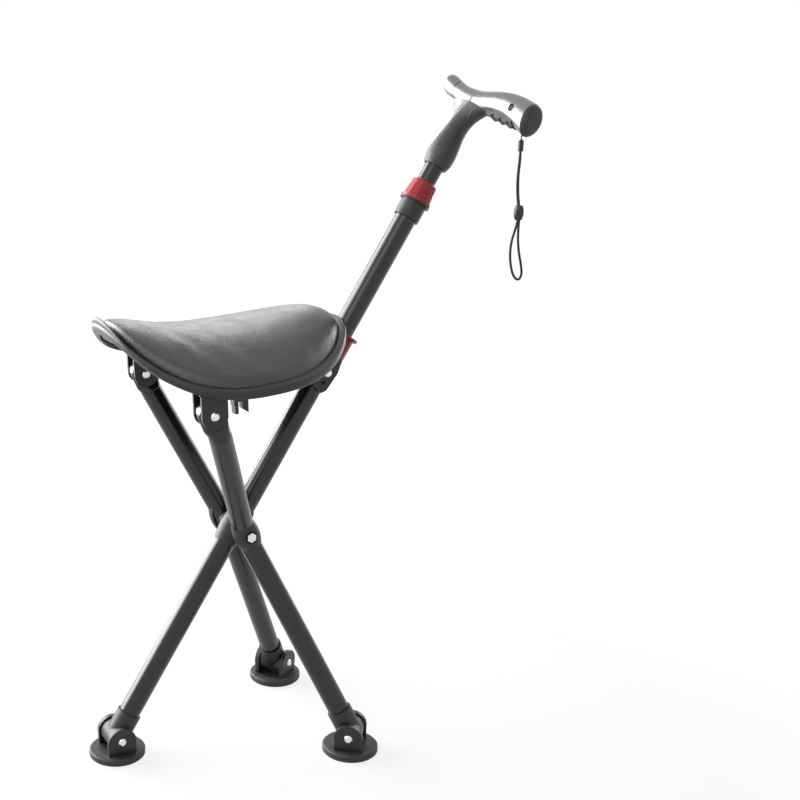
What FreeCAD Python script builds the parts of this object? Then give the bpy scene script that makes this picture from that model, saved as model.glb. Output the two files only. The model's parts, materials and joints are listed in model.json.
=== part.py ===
import FreeCAD, Part
import math
import os

V = FreeCAD.Vector

# Walking stick that unfolds into a three-legged seat, shown open.
# The origin is the centre of the main foot's sole; +X runs from that foot towards the handle,
# Y is sideways, +Z is up. Lengths are in millimetres and angles in degrees.

# Frame
TUBE_TILT = 57.9
LEG_TILT = 66.6
LINK = 180.0
STICK_LOWER = 286.0
FOOT_PIVOT_HEIGHT = 25.0
LEG_HUB_SIDE = 27.5
LEG_FOOT_SIDE = 104.0

# Tubes
TUBE_RADIUS = 12.5
TUBE_WALL = 1.2
INNER_RADIUS = 11.0
INNER_WALL = 1.2
MAIN_TUBE_TOP = 418.0
INNER_TUBE_BOTTOM = 268.0
HUB_BEND_RADIUS = 40.0
TOP_BEND_RADIUS = 14.0
TOP_BEND_DROP = 25.0
LEG_TOP_HALF_WIDTH = 14.5
LEG_TOP_HALF_DEPTH = 9.0
LEG_TOP_FLATTEN = 6.0

# Hub
HUB_SLEEVE_HALF = 23.0
HUB_SLEEVE_RADIUS = 16.2
HUB_SLEEVE_END_RADIUS = 13.6
HUB_SLEEVE_FLAT = 15.2
WASHER_GAP = 0.3
WASHER_RADIUS = 10.5
WASHER_DEPTH = 6.0
BOLT_RADIUS = 3.0
BOLT_END = 49.5
PAD_HALF = 23.0
PAD_AXIS_SIDE = 33.0
PAD_RADIUS = 15.6
PAD_END_RADIUS = 8.5
PAD_INNER_SIDE = 27.0
PAD_FACE_SIDE = 47.6
RECESS_RADIUS = 7.5
RECESS_DEPTH = 3.2
NUT_FLATS = 10.0
NUT_HEIGHT = 4.6
BOLT_HEAD_HEIGHT = 4.0

# Feet
SOLE_RADIUS = 33.0
SOLE_THICKNESS = 9.0
SOLE_CHAMFER = 1.6
TREAD_DEPTH = 1.5
TREAD_WIDTH = 2.5
TREAD_RINGS = (10.0, 19.0)
EAR_RADIUS = 17.0
EAR_THICKNESS = 5.6
KNUCKLE_RADIUS = 14.8
KNUCKLE_HALF = 15.2
KNUCKLE_GAP = 0.3
SOCKET_START = 19.0
SOCKET_END = 31.0
SOCKET_WALL = 2.2
CLEVIS_PLATE = 3.0
CLEVIS_PLATE_RADIUS = 22.5
FOOT_PIN_RADIUS = 4.0
FOOT_PIN_HEAD_RADIUS = 4.9
FOOT_PIN_HEAD = 1.6

# Seat
SEAT_BACK = 19.2
SEAT_HALF_LENGTH = 140.0
SEAT_HALF_WIDTH = 129.0
SEAT_TAPER = 0.092
SEAT_BELLY = 0.228
SEAT_SQUARENESS = 2.4
LEG_TOP_INSET = 27.0
TRIM_REACH = 200.0
SADDLE_HEIGHT = 47.8
SADDLE_LOW = -108.0
SADDLE_RISES = (1.0, -8.8, -0.6, 9.8)
SADDLE_DROOP = 16.4
SADDLE_DROOP_TWIST = 2.9
SADDLE_STATIONS = 9
RIM_UNDER = 4.6
RIM_OVER = 4.0
RIM_WIDTH = 7.6
RIM_CHAMFER = 2.5
SHELL_FLOOR_UNDER = 2.0
SHELL_FLOOR_OVER = 1.0
RIB_WIDTH = 4.0
RIB_SIDES = (-58.0, 58.0)
RIB_STATIONS = (-205.0, -150.0, -95.0)
OUTLINE_POINTS = 24
CUSHION_GROOVE = 1.2
CUSHION_HEIGHT = 17.0
CUSHION_SHOULDER = 9.0
CUSHION_SHOULDER_SOFTEN = 2.5

# Seat brackets
BRACKET_PLATE = 4.0
SIDE_EAR_THICKNESS = 3.5
SIDE_EAR_GAP = 0.2
SIDE_EAR_RADIUS = 14.5
REAR_EAR_THICKNESS = 3.0
REAR_EAR_GAP = 0.3
REAR_PLATE_FRONT = -36.0
REAR_PLATE_BACK = 2.0
RIVET_RADIUS = 3.5
RIVET_HEAD_RADIUS = 5.0
RIVET_HEAD = 1.6
STUB_RADIUS = 3.0
EAR_HOLE_RADIUS = 2.4
EAR_HOLE_AT = (-6.8, 0.0, -9.9)
WEB_TOP = 60.0
RUNNING = 0.05

# Cord clip under the seat
CLIP_ALONG = -138.0
CLIP_SIDE = -80.0
CLIP_LENGTH = 16.5
CLIP_WIDTH = 10.0
CLIP_BODY_LOW = -1.0
CLIP_PRONG_LOW = -10.0
CLIP_SLOT = 5.0

# Slider
SLIDER_RADIUS = 17.0
SLIDER_FLAT = 15.2
SLIDER_FLANGE_RADIUS = 21.0
SLIDER_FLANGE_LOW = 44.5
SLIDER_FLANGE = 3.0
SLIDER_SHOULDER = 17.0
SLIDER_LOW = -13.0
SLIDER_NECK_RADIUS = 15.6
LUG_REACH = 22.0
LUG_HALF_WIDTH = 6.0
LUG_LOW = 28.0
LUG_HIGH = 42.0

# Twist lock
FERRULE_LOW = 399.0
FERRULE_RADIUS = 15.0
FERRULE_FLANGE_RADIUS = 17.8
FERRULE_FLANGE = 1.6
NUT_GAP = 0.3
LOCK_NUT_LENGTH = 24.0
LOCK_NUT_LOW_RADIUS = 18.0
LOCK_NUT_TOP_RADIUS = 14.8
LOCK_NUT_SKIRT = 3.0
LOCK_NUT_RIBS = 12
LOCK_RIB_RADIUS = 1.2
COLLET_WALL = 1.8
COLLET_LENGTH = 17.0
COLLET_SLOTS = 4
COLLET_SLOT = 1.5

# Handle, along the tube axis from the hub and out towards the big end
HANDLE_YAW = 12.0
STEM_LOW = 464.0
STEM_SOCKET = 44.0
NOSE_SEAM = -24.0
GRIP_SEAM = 12.0
CAP_SEAM = 97.0
CAP_LENGTH = 6.5
SEAM_DEPTH = 1.0
SEAM_WIDTH = 1.2
FINGER_SWELL = 1.8
FINGER_STATIONS = (43.0, 56.0, 69.0)
FINGER_RADIUS = 7.0
FINGER_PAD_HALF = 9.0
FINGER_PAD_TOP = 538.0
FINGER_BUMP_HEIGHT = 539.0
FINGER_SLOPE = 0.16
GRIP_TRIM = 60.0
BUSH_LENGTH = 22.0
SCREW_AT = (75.0, -14.0, 542.3)
SCREW_RECESS_RADIUS = 4.4
SCREW_RECESS_DEPTH = 2.4
SCREW_RADIUS = 3.0
SCREW_SLOT = 0.9

# Wrist strap, hung from the underside of the big end
STRAP_G = 95.0
STRAP_T = 521.0
CORD_RADIUS = 1.4
CORD_SPREAD = 1.75
VIEW_TURN = -23.8
FERRULE_CORD_RADIUS = 3.0
FERRULE_CORD_LENGTH = 12.0
FERRULE_CORD_DROP = 5.0
THREAD_RADIUS = 0.7
BEAD_RADIUS = 5.6
BEAD_TOP = -73.5
BEAD_BOTTOM = -88.8


def ground_frame(origin, turn_about_up=0.0):
    return FreeCAD.Placement(origin, FreeCAD.Rotation(V(0, 0, 1), turn_about_up))


def tilted_frame(origin, tilt):
    """A frame whose Z leans in the XZ plane to the given angle above +X."""
    return FreeCAD.Placement(origin, FreeCAD.Rotation(V(0, 1, 0), 90.0 - tilt))


def radians(angle):
    return math.radians(angle)


# Where the pivots are
FOOT = V(0, 0, FOOT_PIVOT_HEIGHT)
TUBE_DIR = V(math.cos(radians(TUBE_TILT)), 0, math.sin(radians(TUBE_TILT)))
LEG_TOP_SIDE = SEAT_HALF_WIDTH - LEG_TOP_INSET
SEAT_MIDDLE = SEAT_BACK - SEAT_HALF_LENGTH
INNER_TUBE_TOP = STEM_LOW + STEM_SOCKET
LEG_DIR = V(-math.cos(radians(LEG_TILT)), 0, math.sin(radians(LEG_TILT)))
HUB = FOOT + TUBE_DIR * STICK_LOWER
FOLD_ANGLE = 180.0 - TUBE_TILT - LEG_TILT
SLIDER_AT = 2.0 * LINK * math.cos(radians(FOLD_ANGLE))
LEG_LOWER = STICK_LOWER * math.sin(radians(TUBE_TILT)) / math.sin(radians(LEG_TILT))
LEG_TOP = HUB + LEG_DIR * LINK
SLIDER_PIVOT = HUB + TUBE_DIR * SLIDER_AT
SEAT_LINE = SLIDER_PIVOT - LEG_TOP
SEAT_TILT = math.degrees(math.atan2(SEAT_LINE.z, SEAT_LINE.x))

STICK = tilted_frame(HUB, TUBE_TILT)
LEGS = tilted_frame(HUB, 180.0 - LEG_TILT)
SLIDER = tilted_frame(SLIDER_PIVOT, TUBE_TILT)
SEAT = FreeCAD.Placement(SLIDER_PIVOT, FreeCAD.Rotation(V(0, 1, 0), -SEAT_TILT))
HANDLE = STICK.multiply(FreeCAD.Placement(V(), FreeCAD.Rotation(V(0, 0, 1), HANDLE_YAW - 90.0)))

LEG_SPREAD = math.degrees(math.atan2(LEG_FOOT_SIDE - LEG_HUB_SIDE, LEG_LOWER * math.cos(radians(LEG_TILT))))


def save(name, shape):
    shape.exportStep(os.path.join("parts", name + ".step"))


def put(shape, frame):
    moved = shape.copy()
    moved.Placement = frame.multiply(moved.Placement)
    return moved


def mirrored(shape):
    return shape.mirror(V(), V(0, 1, 0))


def cylinder(radius, start, end, axis=V(0, 0, 1), centre=V()):
    return Part.makeCylinder(radius, end - start, centre + axis * start, axis)


def box(low, high):
    return Part.makeBox(high[0] - low[0], high[1] - low[1], high[2] - low[2], V(*low))


def revolved(points, axis=V(0, 0, 1)):
    """Turn a closed outline of (radius, height) points about Z."""
    outline = Part.makePolygon([V(r, 0, z) for r, z in points + points[:1]])
    return Part.Face(outline).revolve(V(), axis, 360)


def barrel(mid_radius, end_radius, half):
    """A spindle about Z whose side is one arc."""
    side = Part.Arc(V(end_radius, 0, -half), V(mid_radius, 0, 0), V(end_radius, 0, half)).toShape()
    low = Part.makeLine(V(0, 0, -half), V(end_radius, 0, -half))
    high = Part.makeLine(V(end_radius, 0, half), V(0, 0, half))
    core = Part.makeLine(V(0, 0, half), V(0, 0, -half))
    return Part.Face(Part.Wire([low, side, high, core])).revolve(V(), V(0, 0, 1), 360)


def hexagon(flats, start, end, axis, centre):
    """A hexagonal prism along an axis that lies across Z."""
    corners = []
    for corner in range(7):
        angle = radians(60.0 * corner)
        reach = flats / math.sqrt(3.0)
        corners.append(centre + axis * start + V(math.cos(angle) * reach, 0, math.sin(angle) * reach))
    return Part.Face(Part.makePolygon(corners)).extrude(axis * (end - start))


def section(frame_point, across, up, half_across, half_up):
    """A closed ellipse as a wire, with its half sizes along two directions."""
    if abs(half_across - half_up) < 0.001:
        return Part.Wire([Part.Circle(frame_point, across.cross(up), half_up).toShape()])
    if half_across >= half_up:
        ellipse = Part.Ellipse(frame_point + across * half_across, frame_point + up * half_up, frame_point)
    else:
        ellipse = Part.Ellipse(frame_point + up * half_up, frame_point - across * half_across, frame_point)
    return Part.Wire([ellipse.toShape()])


def bent_wire(points, radii):
    """Straight runs through the points, joined by tangent arcs of the given radii."""
    edges = []
    start = points[0]
    for i in range(1, len(points) - 1):
        before = (points[i - 1] - points[i]).normalize()
        after = (points[i + 1] - points[i]).normalize()
        turn = math.pi - before.getAngle(after)
        back = radii[i - 1] * math.tan(turn / 2.0)
        arc_in = points[i] + before * back
        arc_out = points[i] + after * back
        toward = (before + after).normalize()
        middle = points[i] + toward * (radii[i - 1] / math.cos(turn / 2.0) - radii[i - 1])
        edges.append(Part.makeLine(start, arc_in))
        edges.append(Part.Arc(arc_in, middle, arc_out).toShape())
        start = arc_out
    edges.append(Part.makeLine(start, points[-1]))
    return Part.Wire(edges)


def swept(wire, radius):
    first = wire.Edges[0]
    start = first.valueAt(first.FirstParameter)
    along = first.tangentAt(first.FirstParameter)
    ring = Part.Wire([Part.Circle(start, along, radius).toShape()])
    return wire.makePipeShell([ring], True, True)


# Main stick

def make_main_tube():
    bottom = -STICK_LOWER + SOCKET_START
    tube = cylinder(TUBE_RADIUS, bottom, MAIN_TUBE_TOP).cut(
        cylinder(TUBE_RADIUS - TUBE_WALL, bottom, MAIN_TUBE_TOP))
    return tube.cut(cylinder(BOLT_RADIUS, -TUBE_RADIUS * 2, TUBE_RADIUS * 2, V(0, 1, 0)))


def make_hub_sleeve():
    sleeve = barrel(HUB_SLEEVE_RADIUS, HUB_SLEEVE_END_RADIUS, HUB_SLEEVE_HALF)
    reach = HUB_SLEEVE_RADIUS + 1.0
    sleeve = sleeve.common(box((-reach, -HUB_SLEEVE_FLAT, -reach * 2), (reach, HUB_SLEEVE_FLAT, reach * 2)))
    sleeve = sleeve.cut(cylinder(TUBE_RADIUS, -HUB_SLEEVE_HALF, HUB_SLEEVE_HALF))
    return sleeve.cut(cylinder(BOLT_RADIUS, -reach, reach, V(0, 1, 0)))


NUT_SEAT = PAD_FACE_SIDE - RECESS_DEPTH


def make_pivot_bolt():
    across = V(0, 1, 0)
    bolt = cylinder(BOLT_RADIUS, -BOLT_END, NUT_SEAT, across)
    head = hexagon(NUT_FLATS, NUT_SEAT + WASHER_GAP, NUT_SEAT + BOLT_HEAD_HEIGHT, across, V())
    return bolt.fuse(head).fuse(cylinder(BOLT_RADIUS, NUT_SEAT - 1.0, NUT_SEAT + 1.0, across))


def make_bolt_nut():
    across = V(0, -1, 0)
    nut = hexagon(NUT_FLATS, NUT_SEAT + WASHER_GAP, NUT_SEAT + WASHER_GAP + NUT_HEIGHT, across, V())
    return nut.cut(cylinder(BOLT_RADIUS, NUT_SEAT, NUT_SEAT + NUT_HEIGHT * 2, across))


def make_ferrule():
    tube_top = MAIN_TUBE_TOP
    ferrule = cylinder(FERRULE_RADIUS, FERRULE_LOW, tube_top + FERRULE_FLANGE)
    ferrule = ferrule.fuse(cylinder(FERRULE_FLANGE_RADIUS, tube_top, tube_top + FERRULE_FLANGE))
    ferrule = ferrule.cut(cylinder(TUBE_RADIUS, FERRULE_LOW, tube_top))
    return ferrule.cut(cylinder(TUBE_RADIUS - TUBE_WALL, tube_top, tube_top + FERRULE_FLANGE))


COLLET_LOW = MAIN_TUBE_TOP + FERRULE_FLANGE
COLLET_RADIUS = INNER_RADIUS + RUNNING + COLLET_WALL


def make_collet():
    collet = cylinder(COLLET_RADIUS, COLLET_LOW, COLLET_LOW + COLLET_LENGTH)
    collet = collet.cut(cylinder(INNER_RADIUS + RUNNING, COLLET_LOW, COLLET_LOW + COLLET_LENGTH))
    for slot in range(COLLET_SLOTS):
        blade = box((0, -COLLET_SLOT / 2, COLLET_LOW + COLLET_WALL * 2),
                    (COLLET_RADIUS * 2, COLLET_SLOT / 2, COLLET_LOW + COLLET_LENGTH))
        blade.rotate(V(), V(0, 0, 1), 45.0 + slot * 360.0 / COLLET_SLOTS)
        collet = collet.cut(blade)
    return collet


def make_lock_nut():
    low = COLLET_LOW + NUT_GAP
    top = low + LOCK_NUT_LENGTH
    nut = revolved([(0, low), (LOCK_NUT_LOW_RADIUS, low), (LOCK_NUT_LOW_RADIUS, low + LOCK_NUT_SKIRT),
                    (LOCK_NUT_LOW_RADIUS - 1.2, low + LOCK_NUT_SKIRT), (LOCK_NUT_TOP_RADIUS, top - 2.0),
                    (LOCK_NUT_TOP_RADIUS - 1.8, top), (0, top)])
    slope = math.degrees(math.atan2(LOCK_NUT_LOW_RADIUS - 1.2 - LOCK_NUT_TOP_RADIUS,
                                    LOCK_NUT_LENGTH - LOCK_NUT_SKIRT - 2.0))
    for rib in range(LOCK_NUT_RIBS):
        groove = cylinder(LOCK_RIB_RADIUS, 0, LOCK_NUT_LENGTH)
        groove.rotate(V(), V(0, 1, 0), -slope)
        groove.translate(V(LOCK_NUT_LOW_RADIUS - 0.6, 0, low + LOCK_NUT_SKIRT))
        groove.rotate(V(), V(0, 0, 1), rib * 360.0 / LOCK_NUT_RIBS)
        nut = nut.cut(groove)
    nut = nut.cut(cylinder(COLLET_RADIUS + RUNNING, low, low + COLLET_LENGTH))
    return nut.cut(cylinder(INNER_RADIUS + NUT_GAP, low, top))


# Feet

EAR_INNER = KNUCKLE_HALF + KNUCKLE_GAP
EAR_OUTER = EAR_INNER + EAR_THICKNESS
SOLE_TOP = -FOOT_PIVOT_HEIGHT + SOLE_THICKNESS


def make_knuckle(tilt):
    """The end fitting of a tube that leans at the given angle above the foot frame's +X."""
    lean = FreeCAD.Placement(V(), FreeCAD.Rotation(V(0, 1, 0), 90.0 - tilt))
    outer = TUBE_RADIUS + SOCKET_WALL
    neck = put(cylinder(outer, 0, SOCKET_END), lean)
    knuckle = cylinder(KNUCKLE_RADIUS, -KNUCKLE_HALF, KNUCKLE_HALF, V(0, 1, 0)).fuse(neck)
    knuckle = knuckle.cut(put(cylinder(TUBE_RADIUS, SOCKET_START, SOCKET_END + 1.0), lean))
    return knuckle.cut(cylinder(FOOT_PIN_RADIUS + RUNNING, -EAR_OUTER, EAR_OUTER, V(0, 1, 0)))


def make_clevis():
    plate = cylinder(CLEVIS_PLATE_RADIUS, SOLE_TOP - CLEVIS_PLATE, SOLE_TOP)
    clevis = plate
    for side in (-1, 1):
        inner = min(side * EAR_INNER, side * EAR_OUTER)
        outer = max(side * EAR_INNER, side * EAR_OUTER)
        arch = cylinder(EAR_RADIUS, inner, outer, V(0, 1, 0))
        post = box((-EAR_RADIUS, inner, SOLE_TOP - 1.0), (EAR_RADIUS, outer, 0))
        clevis = clevis.fuse(arch.common(box((-EAR_RADIUS, inner, SOLE_TOP), (EAR_RADIUS, outer, EAR_RADIUS))))
        clevis = clevis.fuse(post.common(cylinder(CLEVIS_PLATE_RADIUS + 4.0, SOLE_TOP - 1.0, 0)))
    clevis = clevis.cut(cylinder(FOOT_PIN_RADIUS, -EAR_OUTER - 1, EAR_OUTER + 1, V(0, 1, 0)))
    return clevis.removeSplitter()


def make_sole():
    bottom = -FOOT_PIVOT_HEIGHT
    inner = SOLE_RADIUS - SOLE_CHAMFER
    sole = revolved([(0, bottom), (inner, bottom), (SOLE_RADIUS, bottom + SOLE_CHAMFER),
                     (SOLE_RADIUS, SOLE_TOP - SOLE_CHAMFER), (inner, SOLE_TOP), (0, SOLE_TOP)])
    for ring in TREAD_RINGS:
        sole = sole.cut(cylinder(ring + TREAD_WIDTH, bottom, bottom + TREAD_DEPTH).cut(
            cylinder(ring, bottom, bottom + TREAD_DEPTH)))
    return sole.cut(make_clevis())


def make_foot_pin():
    pin = cylinder(FOOT_PIN_RADIUS, -EAR_OUTER, EAR_OUTER, V(0, 1, 0))
    for side in (-1, 1):
        head = revolved([(0, EAR_OUTER), (FOOT_PIN_HEAD_RADIUS, EAR_OUTER),
                         (FOOT_PIN_HEAD_RADIUS * 0.7, EAR_OUTER + FOOT_PIN_HEAD), (0, EAR_OUTER + FOOT_PIN_HEAD)])
        head.rotate(V(), V(1, 0, 0), -90.0 * side)
        pin = pin.fuse(head)
    return pin


# Legs, made for the +Y side in a frame whose Z runs up the leg

LEG_LOWER_RUN = math.hypot(LEG_LOWER, LEG_FOOT_SIDE - LEG_HUB_SIDE)


def leg_points():
    foot = V(0, LEG_FOOT_SIDE, -LEG_LOWER)
    hub = V(0, LEG_HUB_SIDE, 0)
    down = (foot - hub).normalize()
    bend = V(0, LEG_TOP_SIDE, LINK - TOP_BEND_DROP)
    flat = V(0, LEG_TOP_SIDE, LINK - LEG_TOP_HALF_WIDTH - LEG_TOP_FLATTEN - 0.5)
    return [foot - down * SOCKET_START, hub, bend, flat]


def leg_body(radius):
    return swept(bent_wire(leg_points(), (HUB_BEND_RADIUS, TOP_BEND_RADIUS)), radius)


def leg_tip(radius, half_width, half_depth):
    """The flattened top of the leg tube, rounded about the top pivot."""
    start = leg_points()[-1]
    up = V(0, 0, 1)
    stations = []
    for share in (0.0, 1.0):
        reach = start + up * (share * LEG_TOP_FLATTEN)
        wide = radius + (half_width - radius) * share
        deep = radius + (half_depth - radius) * share
        stations.append(section(reach, V(1, 0, 0), V(0, 1, 0), wide, deep))
    flare = Part.makeLoft(stations, True, True)
    top = stations[-1].copy()
    straight = Part.Face(top).extrude(up * (half_width * 2.0))
    tip = flare.fuse(straight)
    pivot = V(0, LEG_TOP_SIDE, LINK)
    rounding = cylinder(half_width, -half_width, half_width, V(0, 1, 0), pivot)
    below = box((-half_width * 2, 0, start.z), (half_width * 2, LEG_TOP_SIDE * 2, LINK))
    return tip.common(rounding.fuse(below))


def make_leg_tube():
    tube = leg_body(TUBE_RADIUS).cut(leg_body(TUBE_RADIUS - TUBE_WALL))
    tube = tube.fuse(leg_tip(TUBE_RADIUS, LEG_TOP_HALF_WIDTH, LEG_TOP_HALF_DEPTH))
    across = V(0, 1, 0)
    tube = tube.cut(cylinder(BOLT_RADIUS + RUNNING, 0, LEG_HUB_SIDE * 3, across))
    pivot = V(0, 0, LINK)
    return tube.cut(cylinder(RIVET_RADIUS + RUNNING, 0, LEG_TOP_SIDE * 2, across, pivot))


def make_leg_pad():
    """The spindle-shaped cap in the bend, with a round recess for the bolt."""
    pad = barrel(PAD_RADIUS, PAD_END_RADIUS, PAD_HALF)
    pad.translate(V(0, PAD_AXIS_SIDE, 0))
    reach = PAD_RADIUS * 2
    pad = pad.common(box((-reach, PAD_INNER_SIDE, -reach), (reach, PAD_FACE_SIDE, reach)))
    across = V(0, 1, 0)
    pad = pad.cut(leg_body(TUBE_RADIUS))
    pad = pad.cut(cylinder(RECESS_RADIUS, NUT_SEAT, PAD_FACE_SIDE + 1.0, across))
    pad = pad.cut(cylinder(BOLT_RADIUS + RUNNING, 0, PAD_FACE_SIDE, across))
    pieces = sorted(pad.Solids, key=lambda piece: piece.Volume)
    return pieces[-1]


def make_hub_washer():
    inner = HUB_SLEEVE_FLAT + WASHER_GAP
    across = V(0, 1, 0)
    washer = cylinder(WASHER_RADIUS, inner, inner + WASHER_DEPTH, across).cut(leg_body(TUBE_RADIUS))
    washer = washer.cut(cylinder(BOLT_RADIUS + RUNNING, 0, inner + WASHER_DEPTH, across))
    pieces = sorted(washer.Solids, key=lambda piece: piece.CenterOfMass.y)
    return pieces[0]


# Seat, in a frame whose X runs from the leg pivots to the slider pivot

def saddle_height(along, side):
    """The height of the seat's middle surface, higher at both ends and lower at the sides."""
    far = (along - SADDLE_LOW) / 100.0
    out = side / 100.0
    rise = sum(step * far ** (power + 1) for power, step in enumerate(SADDLE_RISES))
    return SADDLE_HEIGHT + rise - (SADDLE_DROOP + SADDLE_DROOP_TWIST * far) * out ** 2


def saddle_slab(low, high):
    """A slab between two heights over the saddle surface, wider than the seat."""
    rows = []
    for i in range(SADDLE_STATIONS):
        along = SEAT_MIDDLE + SEAT_HALF_LENGTH * 1.2 * (2.0 * i / (SADDLE_STATIONS - 1) - 1.0)
        row = []
        for j in range(SADDLE_STATIONS):
            side = SEAT_HALF_WIDTH * 1.6 * (2.0 * j / (SADDLE_STATIONS - 1) - 1.0)
            row.append(V(along, side, saddle_height(along, side) + low))
        rows.append(row)
    surface = Part.BSplineSurface()
    surface.interpolate(rows)
    return surface.toShape().extrude(V(0, 0, high - low))


def seat_outline(inset):
    """The rounded, tapering outline of the seat, as a prism taller than the seat."""
    points = []
    power = 2.0 / SEAT_SQUARENESS
    for i in range(OUTLINE_POINTS):
        angle = 2.0 * math.pi * i / OUTLINE_POINTS
        along = math.copysign(abs(math.cos(angle)) ** power, math.cos(angle))
        side = math.copysign(abs(math.sin(angle)) ** power, math.sin(angle))
        width = (SEAT_HALF_WIDTH - inset) * (1.0 - SEAT_TAPER * along - SEAT_BELLY * along ** 2)
        points.append(V(SEAT_MIDDLE + (SEAT_HALF_LENGTH - inset) * along, width * side, -TRIM_REACH))
    curve = Part.BSplineCurve()
    curve.interpolate(points, True)
    return Part.Face(Part.Wire([curve.toShape()])).extrude(V(0, 0, TRIM_REACH * 2.0))


def perimeter_edges(shape, count):
    """The longest edges, which run all the way round."""
    return sorted(shape.Edges, key=lambda edge: edge.Length)[-count:]


def make_seat_shell():
    shell = saddle_slab(-RIM_UNDER, RIM_OVER).common(seat_outline(0.0))
    inside = seat_outline(RIM_WIDTH)
    shell = shell.cut(saddle_slab(SHELL_FLOOR_OVER, RIM_OVER * 4.0).common(inside))
    half = RIB_WIDTH / 2.0
    ribs = [box((-TRIM_REACH * 2, side - half, -TRIM_REACH), (TRIM_REACH, side + half, TRIM_REACH)) for side in RIB_SIDES]
    ribs += [box((station - half, -TRIM_REACH, -TRIM_REACH), (station + half, TRIM_REACH, TRIM_REACH))
             for station in RIB_STATIONS]
    pockets = inside.cut(Part.makeCompound(ribs))
    shell = shell.cut(saddle_slab(-RIM_UNDER * 4.0, -SHELL_FLOOR_UNDER).common(pockets))
    return shell.makeChamfer(RIM_CHAMFER, perimeter_edges(shell, 2))


def make_cushion():
    cushion = saddle_slab(SHELL_FLOOR_OVER, CUSHION_HEIGHT).common(seat_outline(RIM_WIDTH + CUSHION_GROOVE))
    top = sorted(perimeter_edges(cushion, 2), key=lambda edge: edge.BoundBox.ZMax)[-1:]
    cushion = cushion.makeChamfer(CUSHION_SHOULDER, top)
    shoulder = sorted(perimeter_edges(cushion, 3), key=lambda edge: edge.BoundBox.ZMax)[-2:]
    return cushion.makeChamfer(CUSHION_SHOULDER_SOFTEN, shoulder)


def side_plate_box():
    half = SIDE_EAR_RADIUS + 1.0
    inner = LEG_TOP_SIDE - LEG_TOP_HALF_DEPTH - SIDE_EAR_GAP - SIDE_EAR_THICKNESS
    outer = LEG_TOP_SIDE + LEG_TOP_HALF_DEPTH + SIDE_EAR_GAP + SIDE_EAR_THICKNESS
    return box((-LINK - half, inner, 0), (-LINK + half, outer, TRIM_REACH))


def rear_plate_box():
    outer = SLIDER_FLAT + REAR_EAR_GAP + REAR_EAR_THICKNESS
    return box((REAR_PLATE_FRONT, -outer, 0), (REAR_PLATE_BACK, outer, TRIM_REACH))


def clip_plate_box():
    return box((CLIP_ALONG - CLIP_LENGTH / 2, CLIP_SIDE - CLIP_WIDTH / 2, 0),
               (CLIP_ALONG + CLIP_LENGTH / 2, CLIP_SIDE + CLIP_WIDTH / 2, TRIM_REACH))


def plate_slab():
    return saddle_slab(-SHELL_FLOOR_UNDER - BRACKET_PLATE, -SHELL_FLOOR_UNDER)


def below_floor(shape):
    """Keep what is under the shell's floor."""
    return shape.cut(saddle_slab(-SHELL_FLOOR_UNDER, TRIM_REACH))


def clear_of_rim(shape):
    """Cut away what would run into the seat's rim."""
    rim = saddle_slab(-RIM_UNDER, TRIM_REACH).cut(seat_outline(RIM_WIDTH))
    return shape.cut(rim)


def make_side_bracket():
    """The +Y leg bracket, two ears on a plate."""
    bracket = plate_slab().common(side_plate_box())
    across = V(0, 1, 0)
    pivot = V(-LINK, 0, 0)
    for side in (-1, 1):
        inner = LEG_TOP_SIDE + side * (LEG_TOP_HALF_DEPTH + SIDE_EAR_GAP)
        outer = inner + side * SIDE_EAR_THICKNESS
        low = min(inner, outer)
        high = max(inner, outer)
        ear = cylinder(SIDE_EAR_RADIUS, low, high, across, pivot)
        web = box((-LINK - SIDE_EAR_RADIUS, low, 0), (-LINK + SIDE_EAR_RADIUS, high, WEB_TOP))
        bracket = bracket.fuse(below_floor(ear.fuse(web)))
    bracket = bracket.cut(cylinder(RIVET_RADIUS, 0, LEG_TOP_SIDE * 2, across, pivot))
    return clear_of_rim(bracket.removeSplitter())


def make_side_rivet():
    reach = LEG_TOP_HALF_DEPTH + SIDE_EAR_GAP + SIDE_EAR_THICKNESS
    across = V(0, 1, 0)
    pivot = V(-LINK, LEG_TOP_SIDE, 0)
    rivet = cylinder(RIVET_RADIUS, -reach, reach, across, pivot)
    for side in (-1, 1):
        head = revolved([(0, reach), (RIVET_HEAD_RADIUS, reach), (RIVET_HEAD_RADIUS * 0.7, reach + RIVET_HEAD),
                         (0, reach + RIVET_HEAD)])
        head.rotate(V(), V(1, 0, 0), -90.0 * side)
        head.translate(pivot)
        rivet = rivet.fuse(head)
    return rivet


REAR_EAR_POINTS = [(17, 10), (12, -2), (-3, -20), (-10, -22), (-17, -14), (-33, 28), (-33, WEB_TOP),
                   (2, WEB_TOP), (4, 42)]


def make_rear_bracket():
    bracket = plate_slab().common(rear_plate_box())
    inner = SLIDER_FLAT + REAR_EAR_GAP
    outline = Part.makePolygon([V(s, 0, h) for s, h in REAR_EAR_POINTS + REAR_EAR_POINTS[:1]])
    for start in (inner, -inner - REAR_EAR_THICKNESS):
        ear = Part.Face(outline).extrude(V(0, REAR_EAR_THICKNESS, 0))
        ear.translate(V(0, start, 0))
        bracket = bracket.fuse(below_floor(ear))
    across = V(0, 1, 0)
    reach = inner + REAR_EAR_THICKNESS + 1.0
    bracket = bracket.cut(cylinder(STUB_RADIUS, -reach, reach, across))
    bracket = bracket.cut(cylinder(EAR_HOLE_RADIUS, -reach, reach, across, V(*EAR_HOLE_AT)))
    return bracket.removeSplitter()


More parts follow.
